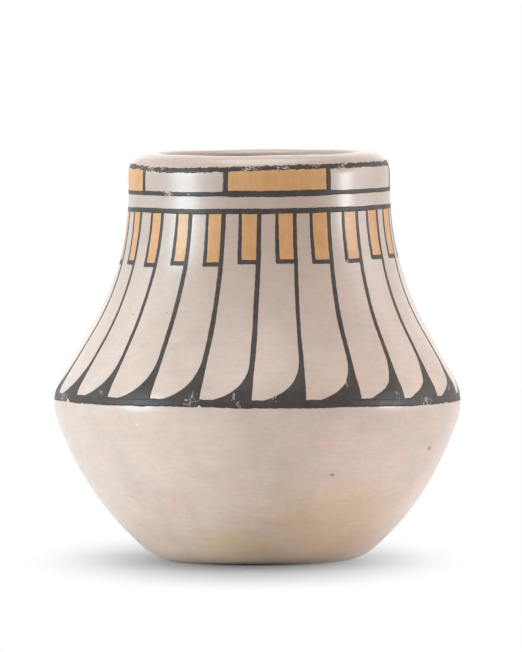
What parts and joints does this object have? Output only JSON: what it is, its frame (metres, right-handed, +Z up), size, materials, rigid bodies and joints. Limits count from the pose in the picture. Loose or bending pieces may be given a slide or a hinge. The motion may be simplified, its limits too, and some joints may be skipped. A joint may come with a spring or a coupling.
{
  "type": "pueblo pottery jar",
  "caption": "Coil-built clay jar with a keeled shoulder, tall tapering neck and in-turned rim, coated in cream slip and painted with black and ochre feathers and bands.",
  "frame": {"origin": "centre of the foot, on the surface that the jar stands on", "axes": "+Z up along the jar's axis, -Y towards the front as pictured, +X to the right"},
  "size_m": [0.1524, 0.1524, 0.1514],
  "materials": {
    "clay": "matte",
    "cream_slip": "satin",
    "black_paint": "matte",
    "ochre_paint": "satin"
  },
  "bodies": {
    "root": {"base_pan": "clay", "bowl_coil": "clay", "belly_coil": "clay", "shoulder_coil": "clay", "slope_coil": "clay", "lower_neck_coil": "clay", "upper_neck_coil": "clay", "collar_coil": "clay", "rim_coil": "clay", "slip_coat": "cream_slip", "rim_line": "black_paint", "panel_line": "black_paint", "collar_line": "black_paint", "panel_dividers": "black_paint", "ochre_panels": "ochre_paint", "feather_shafts": "black_paint", "feather_tip_outlines": "black_paint", "feather_tips": "ochre_paint", "shoulder_band": "black_paint"}
  },
  "joints": []
}
